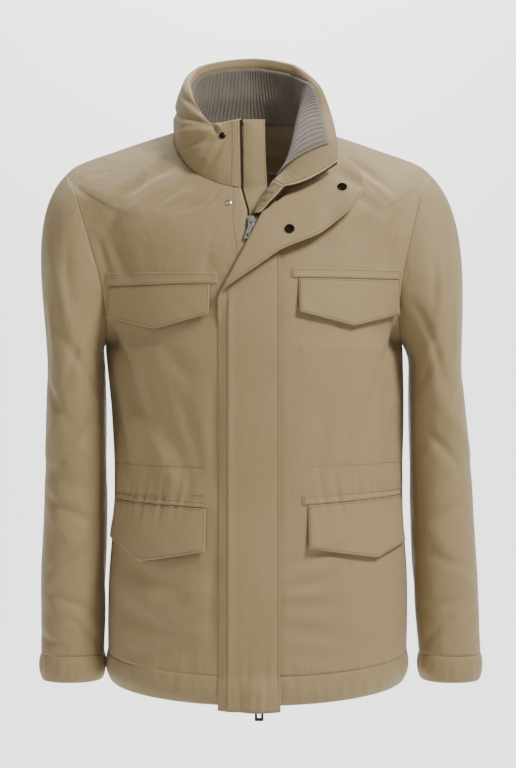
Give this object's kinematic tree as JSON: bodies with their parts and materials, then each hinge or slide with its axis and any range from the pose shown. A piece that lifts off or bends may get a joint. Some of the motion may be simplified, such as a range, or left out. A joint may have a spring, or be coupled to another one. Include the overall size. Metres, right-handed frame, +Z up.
{
  "type": "field jacket",
  "caption": "Padded field jacket, filled out as worn and open at the neck: stand collar lined in ribbed knit, zip under a storm flap folded back at the top, flap pockets, hem band and cuffs.",
  "frame": {"origin": "midway between the two shoulder tips, where the wearer's shoulders carry the jacket", "axes": "+Z up, +X to the wearer's left, +Y towards the back; the front faces -Y"},
  "size_m": [0.5955, 0.2935, 0.8793],
  "materials": {
    "khaki_cloth": "matt khaki cotton shell",
    "knit": "ribbed knit",
    "lining": "dark smooth lining",
    "zip_tape": "woven zip tape",
    "steel": "worn bright metal",
    "dark_metal": "dark glossy enamel",
    "black_metal": "black enamel"
  },
  "bodies": {
    "jacket": {"front_right": "khaki_cloth", "front_left": "khaki_cloth", "back": "khaki_cloth", "hem_band_front_right": "khaki_cloth", "hem_band_front_left": "khaki_cloth", "hem_band_back": "khaki_cloth", "sleeve_right": "khaki_cloth", "sleeve_left": "khaki_cloth", "cuff_right": "khaki_cloth", "cuff_left": "khaki_cloth", "collar": "khaki_cloth", "storm_flap": "khaki_cloth", "wind_flap": "khaki_cloth", "pocket_flap_chest_right": "khaki_cloth", "pocket_band_chest_right": "khaki_cloth", "pocket_flap_chest_left": "khaki_cloth", "pocket_band_chest_left": "khaki_cloth", "pocket_flap_hip_right": "khaki_cloth", "pocket_band_hip_right": "khaki_cloth", "pocket_flap_hip_left": "khaki_cloth", "pocket_band_hip_left": "khaki_cloth", "collar_knit": "knit", "lining_back_neck": "lining", "zip_tape_right": "zip_tape", "zip_tape_left": "zip_tape", "snap_socket_upper": "dark_metal", "snap_socket_lower": "dark_metal", "snap_stud_collar": "dark_metal", "snap_stud_chest": "steel", "slider_top": "steel", "slider_bottom": "black_metal"},
    "pull_top": {"pull_tab_top": "steel"},
    "pull_bottom": {"pull_tab_bottom": "black_metal"}
  },
  "joints": [
    {"name": "pull_top_hinge", "type": "hinge", "parent": "jacket", "child": "pull_top", "pos_m": [-0.0034, -0.12519, -0.07908], "axis": [-1, 0, 0], "range_deg": [0, 150]},
    {"name": "pull_bottom_hinge", "type": "hinge", "parent": "jacket", "child": "pull_bottom", "pos_m": [0.0068, -0.15069, -0.6945], "axis": [-1, 0, 0], "range_deg": [-6, 12]}
  ]
}
